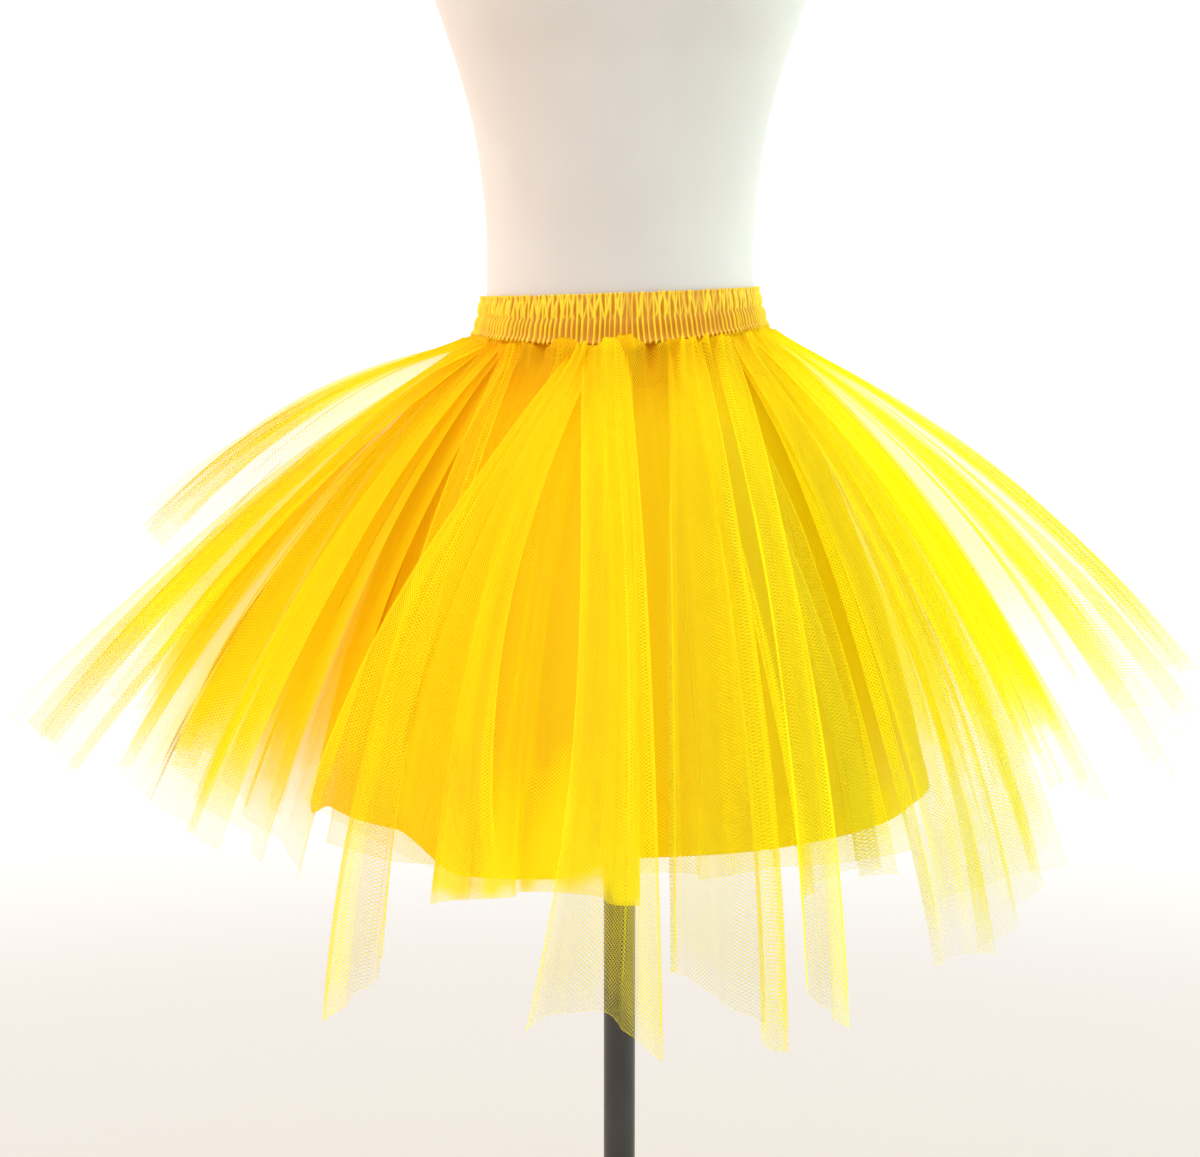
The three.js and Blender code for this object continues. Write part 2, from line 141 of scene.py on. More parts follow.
# A panel's place, as in the solids, then how it looks: the share of light that its upper part stops at the
# left and at the right, the share that its hem stops, how far down the change comes, and how wide its left
# and right edges are folded over.
PANEL_COLUMNS = (
    *("name", "layer", "from_", "to", "left", "right", "long_left", "long_right", "middle", "folds", "deep"),
    *("dense_left", "dense_right", "sheer", "thins", "turn_left", "turn_right"),
)
PANELS = [
    dict(zip(PANEL_COLUMNS, row))
    for row in (
        ("1_front", 1, -56, 60, -53, 51, 447, 464, -10, 6, 6, 0.35, 0.1, 0.25, 0.88, 0, 0),
        ("1_back", 1, 70, 286, 66, 292, 440, 440, -20, 9, 7, 0.4, 0.4, 0.15, 0.8, 0, 0),
        ("2_right", 2, 46, 88, 45, 84, 557, 520, 25, 4, 9, 0.25, 0.55, 0.03, 0.68, 0, 0),
        ("2_back", 2, 124, 236, 122, 238, 470, 475, -35, 6, 9, 0.6, 0.6, 0.15, 0.8, 10, 10),
        ("2_left", 2, -118, -44, -118, -48, 450, 478, -35, 5, 9, 0.72, 0.72, 0.3, 0.86, 0, 0),
        ("3_centre", 3, -24, 4, -26, 2.4, 482, 474, -12, 3, 6, 0.04, 0.1, 0.92, 0.86, 0, 0),
        ("3_front", 3, 20, 37, 24, 37.4, 482, 482, -10, 3, 6, 0.0, 0.0, 0.0, 0.8, 0, 6),
        ("3_right", 3, 56, 104, 57.6, 112, 458, 490, -35, 5, 11, 0.6, 0.45, 0.1, 0.8, 0, 0),
        ("3_left", 3, -104, -50, -112, -49, 480, 478, -35, 5, 11, 0.75, 0.65, 0.3, 0.82, 0, 0),
        ("4_front", 4, 18, 32, 6.7, 19.6, 532, 602, -8, 3, 7, 0.04, 0.1, 0.0, 0.74, 0, 14),
        ("4_right", 4, 46, 66, 38.3, 55.5, 515, 528, -5, 3, 7, 0.03, 0.06, 0.0, 0.75, 6, 0),
        ("4_back", 4, 140, 210, 138, 212, 490, 505, -40, 5, 11, 0.35, 0.35, 0.08, 0.75, 10, 10),
        ("4_left", 4, -100, -52, -100, -50, 405, 487, 12, 3, 8, 0.85, 0.6, 0.2, 0.84, 0, 6),
        ("4_front_left", 4, -48, -40, -34, -29, 588, 531, 0, 2, 4, 0.06, 0.1, 0.04, 0.8, 4, 5),
        ("5_front_left", 5, -18, -8, -37, -14.2, 438, 468, 8, 4, 7, 0.22, 0.2, 0.02, 0.88, 3, 5),
        ("5_front_right", 5, 36, 46, 20.4, 24.6, 560, 600, 0, 2, 4, 0.1, 0.16, 0.05, 0.85, 6, 7),
        ("5_right", 5, 58, 76, 50, 62, 475, 505, -15, 3, 7, 0.2, 0.4, 0.06, 0.85, 8, 6),
        ("5_back_right", 5, 92, 132, 92, 136, 500, 530, -30, 4, 12, 0.25, 0.25, 0.05, 0.75, 10, 10),
        ("5_back_left", 5, -150, -114, -154, -112, 500, 520, -30, 4, 12, 0.25, 0.25, 0.05, 0.75, 10, 10),
        ("5_left", 5, -102, -60, -98, -61.3, 548, 498, -30, 4, 12, 0.15, 0.5, 0.06, 0.72, 8, 0),
        ("6_front", 6, -14, 2, -9.2, 4.1, 584, 606, -25, 3, 8, 0.1, 0.16, 0.03, 0.76, 4, 11),
        ("6_right", 6, 66, 104, 64, 100, 530, 505, -35, 4, 12, 0.13, 0.07, 0.02, 0.5, 8, 6),
        ("6_back", 6, 156, 186, 152, 190, 520, 500, -30, 4, 12, 0.15, 0.15, 0.04, 0.75, 10, 10),
        ("6_left", 6, -116, -60, -112, -54, 350, 330, -15, 4, 12, 0.08, 0.12, 0.01, 0.5, 0, 0),
    )
]

# The share of the net that shows above the hem, on a panel that lies close on the lining.
FAINT_NETS = {"1_front": 0.3}

# How much of a hem shows, and how far up it fades, where the cloth ends in a haze of loose net.
HEM_FADES = {"3_centre": (0.5, 14)}

# Edges of panels that bow sideways between the band and the hem, left and right, in degrees half way down.
BOWED_EDGES = {"5_front_left": (0, -4.5), "6_front": (4, 0)}


# Form of the body and of the cloth


def form_size(z, key):
    """Smooth value between the form's sections at the heights z."""
    heights = FORM_SECTIONS[:, 0]
    sizes = FORM_SECTIONS[:, key]
    last = len(heights) - 1
    z = np.clip(z, heights[0], heights[last])
    above = np.clip(np.searchsorted(heights, z), 1, last)
    before, low, high, after = (np.clip(above + shift, 0, last) for shift in (-2, -1, 0, 1))
    span = heights[high] - heights[low]
    share = (z - heights[low]) / span
    low_slope = (sizes[high] - sizes[before]) / (heights[high] - heights[before]) * span
    high_slope = (sizes[after] - sizes[low]) / (heights[after] - heights[low]) * span
    square = share * share
    cube = square * share
    return (
        sizes[low] * (2 * cube - 3 * square + 1)
        + low_slope * (cube - 2 * square + share)
        + sizes[high] * (3 * square - 2 * cube)
        + high_slope * (cube - square)
    )


def form_depth(z, azimuth):
    return np.where(np.cos(np.radians(azimuth)) > 0, form_size(z, FRONT), form_size(z, BACK))


def form_points(azimuth, z, clear=0.0):
    """Points on the form, or clear of it by a distance, with the last axis x, y and z."""
    turn = np.radians(azimuth)
    around = (azimuth + 180) % 360 - 180

    def bell(distance, width):
        return np.exp(-((distance / width) ** 2))

    bust = bell(z - BUST["z"], BUST["spread"]) * (
        bell(around - BUST["at"], BUST["width"]) + bell(around + BUST["at"], BUST["width"])
    )
    x = (form_size(z, SIDE) + clear + BUST["sideways"] * bust) * np.sin(turn)
    y = -(form_depth(z, azimuth) + clear + BUST["depth"] * bust) * np.cos(turn)
    return np.stack(np.broadcast_arrays(x, y, z), axis=-1)


def angle_at(layer, azimuth, at_end=False):
    """A layer's angle at an azimuth in radians, blended between the four sides."""
    front, right, back, left = LAYERS[layer][4:] if at_end else LAYERS[layer][:4]
    turn = np.radians(azimuth)
    sideways = np.sin(turn) ** 2
    side = np.where(np.sin(turn) > 0, right, left)
    facing = np.where(np.cos(turn) > 0, front, back)
    return np.radians(side * sideways + facing * (1 - sideways))


def arc(start, bend, length):
    end = start + bend * length
    return (np.sin(end) - np.sin(start)) / bend, (np.cos(start) - np.cos(end)) / bend, end


def fall(layer, azimuth, length):
    """How far out and down a layer is after a length of cloth, and its angle there."""
    hang = math.radians(HANG_ANGLE)
    start = angle_at(layer, azimuth)
    end = angle_at(layer, azimuth, at_end=True)
    run, drop, angle = arc(hang, (start - hang) / ELBOW, np.minimum(length, ELBOW))
    more_run, more_drop, more_angle = arc(start, (end - start) / FALL_LENGTH, length - ELBOW)
    past = length > ELBOW
    return (
        np.where(past, run + more_run, run),
        np.where(past, drop + more_drop, drop),
        np.where(past, more_angle, angle),
    )


def grown(length):
    return np.maximum(0, length - ELBOW) / FALL_LENGTH


def shared_wave(layer, azimuth, length):
    turn = np.radians(azimuth)
    total = sum(share * np.cos(count * turn + math.radians(at)) for count, share, at in SHARED_WAVES)
    return SHARED_WAVE_DEPTH * layer * total * grown(length) / (len(LAYERS) - 1)


def tilt_at(azimuth, out=0.0):
    return BAND_TILT * (form_size(ROOT_Z, SIDE) + out) * np.sin(np.radians(azimuth))


def rise_at(azimuth):
    return SIDE_RISE * np.sin(np.radians(azimuth)) ** 2


def drape(layer, azimuth, length, fold):
    """Points of a layer at azimuths and lengths of cloth, lifted off it by a fold."""
    turn = np.radians(azimuth)
    run, drop, angle = fall(layer, azimuth, length)
    lift = fold + shared_wave(layer, azimuth, length)
    out = FIRST_SHEET_AT + SHEET_PITCH * layer + run + lift * np.sin(angle)
    root = ROOT_Z + rise_at(azimuth)
    at_band = root + tilt_at(azimuth)
    x = (form_size(at_band, SIDE) + out) * np.sin(turn)
    y = -(form_depth(at_band, azimuth) + out) * np.cos(turn)
    z = root - drop + lift * np.cos(angle) + tilt_at(azimuth, run)
    return np.stack([x, y, z], axis=-1)


def girth_radius(layer, azimuth, length):
    run = fall(layer, azimuth, length)[0]
    middle = (form_size(ROOT_Z, SIDE) + form_size(ROOT_Z, FRONT)) / 2
    return middle + FIRST_SHEET_AT + SHEET_PITCH * layer + run


def lerp(start, end, share):
    return start + (end - start) * share


def smooth(edge, full, value):
    share = np.clip((value - edge) / (full - edge), 0, 1)
    return share * share * (3 - 2 * share)


def ripple(random, u, v, across, down, count=5):
    """Smooth wandering value from about -1 to 1 over a sheet."""
    total = 0.0
    for _ in range(count):
        a, b, phase = random.uniform(-across, across), random.uniform(-down, down), random.uniform(0, 6.283)
        total = total + np.cos(2 * np.pi * (a * u + b * v) + phase)
    return total / count * 1.6


# Meshes


def add_mesh(name, points, faces, uv_maps=None):
    """Smooth-shaded object from points in millimetres. Each uv map holds one pair for each point."""
    mesh = bpy.data.meshes.new(name)
    mesh.from_pydata((np.asarray(points).reshape(-1, 3) / 1000).tolist(), [], faces)
    mesh.update()
    mesh.polygons.foreach_set("use_smooth", [True] * len(mesh.polygons))
    corner = np.empty(len(mesh.loops), dtype=np.int64)
    mesh.loops.foreach_get("vertex_index", corner)
    for uv_name, pairs in (uv_maps or {}).items():
        layer = mesh.uv_layers.new(name=uv_name)
        layer.data.foreach_set("uv", np.asarray(pairs, dtype=float).reshape(-1, 2)[corner].ravel())
    piece = bpy.data.objects.new(name, mesh)
    bpy.context.scene.collection.objects.link(piece)
    return piece


def grid_faces(rows, columns, closed=False):
    """Faces of a grid of points, which meets itself after its last column if it is closed."""
    across = np.arange(columns if closed else columns - 1)
    row, column = np.meshgrid(np.arange(rows - 1), across, indexing="ij")
    beside = (column + 1) % columns
    here, below = row * columns, (row + 1) * columns
    quads = np.stack([here + column, below + column, below + beside, here + beside], axis=-1)
    return quads.reshape(-1, 4).tolist()


def lathe(name, profile, columns):
    """Solid turned round the vertical axis from (radius, z, rounding) points."""
    outline = []
    for index, (radius, z, rounding) in enumerate(profile):
        here = np.array([radius, z], dtype=float)
        if not rounding:
            outline.append(here)
            continue
        before = np.array(profile[index - 1][:2], dtype=float) - here
        after = np.array(profile[index + 1][:2], dtype=float) - here
        start = here + before / np.linalg.norm(before) * rounding
        end = here + after / np.linalg.norm(after) * rounding
        outline += [
            (1 - t) ** 2 * start + 2 * t * (1 - t) * here + t * t * end for t in np.linspace(0, 1, 7)
        ]
    outline = np.array(outline)
    turn = np.linspace(0, 2 * np.pi, columns, endpoint=False)
    ring = outline[1:-1]
    points = np.stack(
        [ring[:, :1] * np.cos(turn), ring[:, :1] * np.sin(turn), np.repeat(ring[:, 1:], columns, axis=1)],
        axis=-1,
    ).reshape(-1, 3)
    rows = len(ring)
    faces = [face[::-1] for face in grid_faces(rows, columns, closed=True)]
    low, high = rows * columns, rows * columns + 1
    for column in range(columns):
        beside = (column + 1) % columns
        faces.append([low, beside, column])
        faces.append([high, (rows - 1) * columns + column, (rows - 1) * columns + beside])
    points = np.vstack([points, [0, 0, outline[0, 1]], [0, 0, outline[-1, 1]]])
    return add_mesh(name, points, faces)


def grid_area(points):
    """Area of a grid of points in square metres."""
    a, b = points[:-1, :-1], points[:-1, 1:]
    c, d = points[1:, 1:], points[1:, :-1]
    one = np.linalg.norm(np.cross(b - a, c - a), axis=-1)
    two = np.linalg.norm(np.cross(c - a, d - a), axis=-1)
    return float((one + two).sum() / 2) / 1e6


def path_length(points):
    return float(np.linalg.norm(np.diff(points, axis=0), axis=-1).sum()) / 1000


def declare(piece, slot, *nodes):
    """The piece stands for solids of the model and moves with its one body."""
    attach(piece, "root")
    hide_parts(*nodes)


def declare_cut(points):
    """Work out the flat cut of a sheet that widens from its gathered edge to its hem; the result is not
    kept.
    """
    hem, root = path_length(points[-1]), path_length(points[0])
    long = path_length(points[:, points.shape[1] // 2])
    wide = max(hem, root)
    cut = min(grid_area(points), wide * long)


# Finishes


class Value:
    """A number socket, so that maths on it reads as an expression."""

    def __init__(self, nodes, socket):
        self.nodes = nodes
        self.socket = socket

    def maths(self, operation, *values):
        return self.nodes.value("ShaderNodeMath", {"operation": operation}, dict(enumerate(values)))

    def __add__(self, other):
        return self.maths("ADD", self, other)

    def __radd__(self, other):
        return self.maths("ADD", other, self)

    def __sub__(self, other):
        return self.maths("SUBTRACT", self, other)

    def __rsub__(self, other):
        return self.maths("SUBTRACT", other, self)

    def __mul__(self, other):
        return self.maths("MULTIPLY", self, other)

    def __rmul__(self, other):
        return self.maths("MULTIPLY", other, self)

    def __truediv__(self, other):
        return self.maths("DIVIDE", self, other)

    def power(self, other):
        return self.maths("POWER", self, other)

    def below(self, other):
        return self.maths("MINIMUM", self, other)

    def from_line(self, pitch):
        """Distance to the nearest of a row of lines, from 0 on a line to half the pitch between two."""
        return self.maths("PINGPONG", self, pitch / 2)

    def ramp(self, low, high, start=0.0, end=1.0):
        """Smooth step from start to end while this goes from low to high."""
        return self.nodes.value(
            "ShaderNodeMapRange",
            {"interpolation_type": "SMOOTHSTEP"},
            {"Value": self, "From Min": low, "From Max": high, "To Min": start, "To Max": end},
        )


class Nodes:
    """The nodes of a material or of the world."""

    def __init__(self, tree):
        self.tree = tree
        tree.nodes.clear()

    def node(self, kind, settings=None, sockets=None):
        node = self.tree.nodes.new(kind)
        for name, setting in (settings or {}).items():
            setattr(node, name, setting)
        for key, value in (sockets or {}).items():
            value = value.socket if isinstance(value, Value) else value
            if isinstance(value, bpy.types.NodeSocket):
                self.tree.links.new(value, node.inputs[key])
            else:
                node.inputs[key].default_value = value
        return node

    def value(self, kind, settings=None, sockets=None, output=0):
        return Value(self, self.node(kind, settings, sockets).outputs[output])

    def parts(self, vector):
        split = self.node("ShaderNodeSeparateXYZ", None, {0: vector})
        return [Value(self, output) for output in split.outputs]

    def uv(self, name):
        """The two numbers of a uv map."""
        return self.parts(self.node("ShaderNodeUVMap", {"uv_map": name}).outputs[0])[:2]

    def place(self, kind="Object"):
        """The point of the surface in the object's own space, in metres, or the direction of the world."""
        return self.parts(self.node("ShaderNodeTexCoord").outputs[kind])

    def noise(self, x, y, z=0.0, detail=2.0, roughness=0.5):
        vector = self.node("ShaderNodeCombineXYZ", None, {0: x, 1: y, 2: z}).outputs[0]
        return self.value(
            "ShaderNodeTexNoise",
            {"noise_dimensions": "3D"},
            {"Vector": vector, "Scale": 1.0, "Detail": detail, "Roughness": roughness},
        )

    def blend(self, share, one, other):
        """Mix of two colours, each a socket or three numbers."""
        sockets = {0: share}
        for key, colour in ((6, one), (7, other)):
            sockets[key] = colour if isinstance(colour, bpy.types.NodeSocket) else (*colour, 1)
        return self.node("ShaderNodeMix", {"data_type": "RGBA"}, sockets).outputs[2]

    def bump(self, height, distance, strength=1.0):
        """Normal for a height of 0 to 1, which stands for a distance in metres."""
        sockets = {"Height": height, "Distance": distance, "Strength": strength}
        return self.node("ShaderNodeBump", None, sockets).outputs[0]

    def surface(self, sockets):
        return self.node("ShaderNodeBsdfPrincipled", None, sockets).outputs[0]

    def translucent(self, colour):
        return self.node("ShaderNodeBsdfTranslucent", None, {0: (*colour, 1)}).outputs[0]

    def mix(self, share, one, other):
        """Mix of two shaders."""
        return self.node("ShaderNodeMixShader", None, {0: share, 1: one, 2: other}).outputs[0]


class Finish(Nodes):
    """A procedural material."""

    def __init__(self, name):
        self.material = bpy.data.materials.new(name)
        self.material.use_nodes = True
        super().__init__(self.material.node_tree)

    def show(self, shader):
        self.node("ShaderNodeOutputMaterial", None, {"Surface": shader})
        return self.material


def tulle_finish(settings):
    """Soft net: threads crossing in diamonds, denser in creases, at cut edges and where it is gathered. Its
    colour holds painted light and shade: brighter where dense, darker where sheer, painted shade in the
    gathers, warmer painted light at the left, cooler at the right, and a painted glow.
    """
    finish = Finish("tulle_net")
    across, down = finish.uv("cloth")
    edge, cover = finish.uv("weight")
    tint, whole = finish.uv("tint")
    pitch = settings.net_pitch
    half = settings.thread_width / 2
    near = (across + down).from_line(pitch).below((across - down).from_line(pitch))
    thread = near.ramp(0.3 * half, 1.7 * half, 0.85, 0.0)
    cloud = finish.noise(across * 24, down * 11, 0.0, 1.0, 0.5).ramp(0.3, 0.7)
    cut_edge = edge.ramp(0.0008, 0.0026, 0.6, 0.0)
    seen = 1 - (1 - thread) * (1 - cut_edge) * (1 - cover) * (1 - cloud * 0.08)
    dense = (cover * 1.6 + cloud * 0.1 + cut_edge).ramp(0.05, 0.5)
    colour, through = settings.tulle_pale_shaded, finish.translucent(settings.tulle_pale_shaded)
    for share, other in (
        # Painted light and shade by density: the dense net is brighter and more saturated, the sheer net
        # darker.
        (dense, settings.tulle_colour),
        # Painted shade in the gathers and painted warm light at the left, mixed in by the tint map.
        (tint, settings.tulle_painted_shade_and_warmth),
        # Painted cooler light at the right, where the tint map falls below 0.
        (tint * -4, settings.tulle_painted_cool_light),
    ):
        colour = finish.blend(share, colour, other)
        through = finish.mix(share, through, finish.translucent(other))
    normal = finish.bump(cloud, 0.0015, 0.6)
    lit = finish.surface(
        {
            "Base Color": colour,
            "Roughness": 0.6,
            "Specular IOR Level": 0.05,
            "Normal": normal,
            # Painted glow: emission standing in for light scattered inside the gathered net.
            "Emission Color": colour,
            "Emission Strength": settings.tulle_painted_glow,
        }
    )
    clear = finish.node("ShaderNodeBsdfTransparent").outputs[0]
    return finish.show(finish.mix(seen * whole, clear, finish.mix(0.55, lit, through)))


def lining_finish(settings):
    """Opaque satin with a fine cross weave and long soft streaks, with painted shade under the band and
    painted cooler light at the right.
    """
    finish = Finish("lining_satin")
    across, down = finish.uv("cloth")
    streak = finish.noise(across * 60, down * 3, 0.0, 3.0, 0.6)
    weave = (across.from_line(0.0008) + down.from_line(0.0011)) * 1000
    painted_cool_light, _ = finish.uv("tint")
    colour = finish.blend(
        streak.ramp(0.3, 0.7), settings.lining_colour, settings.lining_shade
    )
    # Painted cooler light on the lining towards the right.
    colour = finish.blend(painted_cool_light.ramp(0.3, 0.9), colour, settings.lining_painted_cool_light)
    # Painted shade at the top of the lining, under the band, in the colour of the band's valleys.
    colour = finish.blend(down.ramp(0.0, 0.07), settings.band_shade, colour)
    height = streak * 0.7 + weave * 0.3
    lit = finish.surface(
        {
            "Base Color": colour,
            "Roughness": streak.ramp(0.2, 0.8, 0.42, 0.55),
            "Specular IOR Level": 0.1,
            "Normal": finish.bump(height, 0.0006, 0.5),
        }
    )
    return finish.show(finish.mix(0.12, lit, finish.translucent(settings.lining_colour)))


def band_finish(settings):
    """Bright satin, with painted shade in the valleys of its gathers."""
    finish = Finish("band_satin")
    across, down = finish.uv("cloth")
    ridge, _ = finish.uv("weight")
    grain = finish.noise(across * 700, down * 60, 0.0, 2.0, 0.5)
    # Painted shade: the valleys of the gathers are darkened and the ridges kept bright.
    colour = finish.blend(
        ridge.ramp(0.05, 0.75), settings.band_shade, settings.band_colour
    )
    return finish.show(
        finish.surface(
            {
                "Base Color": colour,
                "Roughness": grain.ramp(0.3, 0.7, 0.38, 0.5),
                "Specular IOR Level": 0.35,
                "Normal": finish.bump(grain, 0.0002, 0.5),
            }
        )
    )


def form_finish(settings):
    """Fine jersey over a padded form."""
    finish = Finish("form_jersey")
    x, y, z = finish.place()
    knit = finish.noise(x * 900, y * 900, z * 500, 2.0, 0.6)
    soft = finish.noise(x * 7, y * 7, z * 5, 3.0, 0.5)
    colour = finish.blend(
        soft.ramp(0.3, 0.7), settings.cover_colour, settings.cover_shade
    )
    return finish.show(
        finish.surface(
            {
                "Base Color": colour,
                "Roughness": knit.ramp(0.2, 0.8, 0.6, 0.75),
                "Normal": finish.bump(knit * 0.5 + soft * 0.5, 0.0006, 0.35),
                "Sheen Weight": 0.3,
            }
        )
    )


def metal_finish(settings):
    """Satin black paint on steel, faintly mottled and worn."""
    finish = Finish("stand_paint")
    x, y, z = finish.place()
    mottle = finish.noise(x * 260, y * 260, z * 260, 3.0, 0.6)
    wear = finish.noise(x * 22, y * 22, z * 9, 3.0, 0.6).ramp(0.45, 0.75)
    colour = finish.blend(wear * 0.5, settings.stand_colour, settings.stand_worn)
    return finish.show(
        finish.surface(
            {
                "Base Color": colour,
                "Roughness": wear.ramp(0.0, 1.0, 0.34, 0.5),
                "Metallic": 0.0,
                "Normal": finish.bump(mottle, 0.0002, 0.4),
            }
        )
    )


# Settings a user would change


def colour_setting(name, description, default):
    return bpy.props.FloatVectorProperty(
        name=name, description=description, default=default, min=0, max=1, subtype="COLOR"
    )


def length_setting(name, description, default):
    return bpy.props.FloatProperty(name=name, description=description, default=default, unit="LENGTH")


def level_setting(name, description, default):
    return bpy.props.FloatProperty(name=name, description=description, default=default, min=0)


class TulleSkirtSettings(bpy.types.PropertyGroup):
    """Cloth of the skirt."""

    net_pitch: length_setting("Net pitch", "From one thread of the net to the next", 0.0030)
    thread_width: length_setting("Thread width", "Width of a thread of the net", 0.00058)
    gather_pitch: length_setting("Gather pitch", "Width of a gather of the waistband", 0.0039)
    # Partly painted light: the dense net's brighter, more saturated colour stands in for light scattered
    # between its layers.
    tulle_colour: colour_setting("Tulle", "Colour of the net where it is dense", (1.0, 0.87, 0.012))
    # Painted shade: the single sheer net is darker than the dense net, since sheer hems catch less light;
    # its paleness is its own.
    tulle_pale_shaded: colour_setting("Pale tulle", "Colour of a single sheer net", (0.74, 0.66, 0.03))
    # Painted shade in the gathers and painted warm light at the left.
    tulle_painted_shade_and_warmth: colour_setting("Deep tulle", "Colour of the net deep in the gathers", (1.0, 0.55, 0.006))
    # Painted cooler light on the net at the right.
    tulle_painted_cool_light: colour_setting("Cool tulle", "Colour of the net in cooler light", (0.97, 0.96, 0.012))
    # Painted glow: the net's emission stands in for light scattered inside the gathered net.
    tulle_painted_glow: level_setting("Tulle glow", "Light scattered inside the gathered net", 0.06)
    lining_colour: colour_setting("Lining", "Colour of the lining", (0.95, 0.6, 0.001))
    lining_shade: colour_setting("Lining shade", "Colour of the lining's streaks", (0.91, 0.55, 0.001))
    # Painted cooler light on the lining at the right.
    lining_painted_cool_light: colour_setting("Cool lining", "Colour of the lining in cooler light", (0.8, 0.605, 0.001))
    band_colour: colour_setting("Waistband", "Colour on the ridges of the gathers", (0.92, 0.66, 0.018))
    # Painted shade in the valleys of the gathers, and under the band at the top of the lining.
    band_shade: colour_setting("Band shade", "Colour in the valleys of the gathers", (0.62, 0.24, 0.004))


class DressFormSettings(bpy.types.PropertyGroup):
    """Dress form and stand."""

    cover_colour: colour_setting("Cover", "Colour of the form's jersey", (0.66, 0.625, 0.60))
    cover_shade: colour_setting("Cover shade", "Colour of the duller jersey", (0.61, 0.57, 0.545))
    stand_colour: colour_setting("Stand", "Colour of the stand's paint", (0.028, 0.024, 0.021))
    stand_worn: colour_setting("Worn stand", "Colour of the paint where it is worn", (0.060, 0.052, 0.046))


class StudioSettings(bpy.types.PropertyGroup):
    """Floor, light and view."""

    floor_colour: colour_setting("Floor", "Colour of the studio floor", (0.53, 0.50, 0.49))
    floor_radius: length_setting("Floor radius", "Radius of the studio floor", 7.0)
    room_light: level_setting("Room light", "Brightness of the white room", 1.0)
    side_light: level_setting("Side light", "Brightness of the side walls against the room", 1.6)
    front_light: level_setting("Front light", "Brightness before the skirt against the room", 0.7)
    back_light: level_setting("Back light", "Brightness behind the skirt against the room", 0.76)
    top_light: level_setting("Top light", "Brightness of the ceiling against the room", 1.2)
    low_light: level_setting("Low light", "Brightness low in front against the room", 0.55)
    left_tint: colour_setting("Left tint", "Colour of the light from the left", (1.0, 0.86, 0.76))
    right_tint: colour_setting("Right tint", "Colour of the light from the right", (0.86, 1.0, 0.95))
    exposure: bpy.props.FloatProperty(
        name="Exposure", description="Exposure of the picture in stops", default=0.66
    )
    eye_distance: length_setting("Eye distance", "From the camera to the form's axis", 2.2)
    eye_height: length_setting("Eye height", "Height of the camera", 1.017)
    look_down: bpy.props.FloatProperty(
        name="Look down",
        description="How far the camera looks below the level",
        default=math.radians(6.9),
        subtype="ANGLE",
    )
    focal_length: bpy.props.FloatProperty(
        name="Focal length", description="Focal length of the lens in millimetres", default=75.87, min=10
    )


# Operators


class SKIRT_OT_studio(bpy.types.Operator):
    """Set the camera, the pale floor and the soft light"""

    bl_idname = "skirt.studio"
    bl_label = "Studio"

    def execute(self, context):
        studio = context.scene.skirt_studio
        self.add_camera(context, studio)
        self.add_floor(studio)
        self.add_light(context, studio)
        return {"FINISHED"}

    def add_camera(self, context, studio):
        lens = bpy.data.cameras.new("camera")
        lens.sensor_fit = "HORIZONTAL"
        lens.sensor_width = 36
        lens.lens = studio.focal_length
        camera = bpy.data.objects.new("camera", lens)
        camera.location = (-0.0174, -studio.eye_distance, studio.eye_height)
        camera.rotation_euler = (math.pi / 2 - studio.look_down, 0, 0)
        context.scene.collection.objects.link(camera)
        context.scene.camera = camera

    def add_floor(self, studio):
        """Round floor that fades into the white of the room."""
        rings = [0.001, 0.5, 1.0, 1.6, 2.4, 3.4, 4.6, 5.8, studio.floor_radius]
        turn = np.linspace(0, 2 * np.pi, 72, endpoint=False)
        radius = np.array(rings)[:, None] * 1000
        height = np.full((len(rings), 72), -0.5)
        points = np.stack([radius * np.cos(turn), radius * np.sin(turn), height], axis=-1)
        floor = add_mesh("floor", points, grid_faces(len(rings), 72, closed=True))
        finish = Finish("floor_paper")
        x, y, _ = finish.place()
        far = (x * x + y * y).power(0.5).ramp(1.2, studio.floor_radius * 0.48)
        grain = finish.noise(x * 90, y * 90, 0.0, 3.0, 0.6)
        lit = finish.surface(
            {
                "Base Color": (*studio.floor_colour, 1),
                "Roughness": grain.ramp(0.2, 0.8, 0.75, 0.9),
                "Normal": finish.bump(grain, 0.0005, 0.3),
            }
        )
        clear = finish.node("ShaderNodeBsdfTransparent").outputs[0]
        floor.data.materials.append(finish.show(finish.mix(far, lit, clear)))

    def add_light(self, context, studio):
        """White room with brighter walls at its sides, warm at the left and cooler at the right."""
        world = bpy.data.worlds.new("white_room")
        world.use_nodes = True
        world.cycles.sampling_method = "NONE"
        context.scene.world = world
        room = Nodes(world.node_tree)
        x, y, z = room.place("Generated")
        tint = room.blend(x.ramp(-0.8, 0.0), studio.left_tint, (1.0, 1.0, 1.0))
        tint = room.blend(x.ramp(0.0, 0.8), tint, studio.right_tint)
        level = x.ramp(-0.9, -0.35, studio.side_light, 1.0) * x.ramp(0.35, 0.9, 1.0, studio.side_light)
        level = level * y.ramp(-0.6, 0.1, studio.front_light, 1.0)
        level = level * y.ramp(0.1, 0.6, 1.0, studio.back_light)
        level = level * z.ramp(0.2, 0.9, 1.0, studio.top_light)
        level = level * (1 - z.ramp(-0.5, 0.0, 1 - studio.low_light, 0.0) * y.ramp(-0.1, 0.3, 1.0, 0.0))
        bright = room.node("ShaderNodeVectorMath", {"operation": "SCALE"}, {0: tint, "Scale": level})
        sockets = {"Color": bright.outputs[0], "Strength": studio.room_light}
        background = room.node("ShaderNodeBackground", None, sockets)
        room.node("ShaderNodeOutputWorld", None, {"Surface": background.outputs[0]})
        scene = context.scene
        scene.view_settings.view_transform = "Standard"
        scene.view_settings.look = "None"
        scene.view_settings.exposure = studio.exposure
        scene.cycles.transparent_max_bounces = 96
        scene.cycles.max_bounces = 6
        scene.cycles.diffuse_bounces = 5
        scene.cycles.transmission_bounces = 5


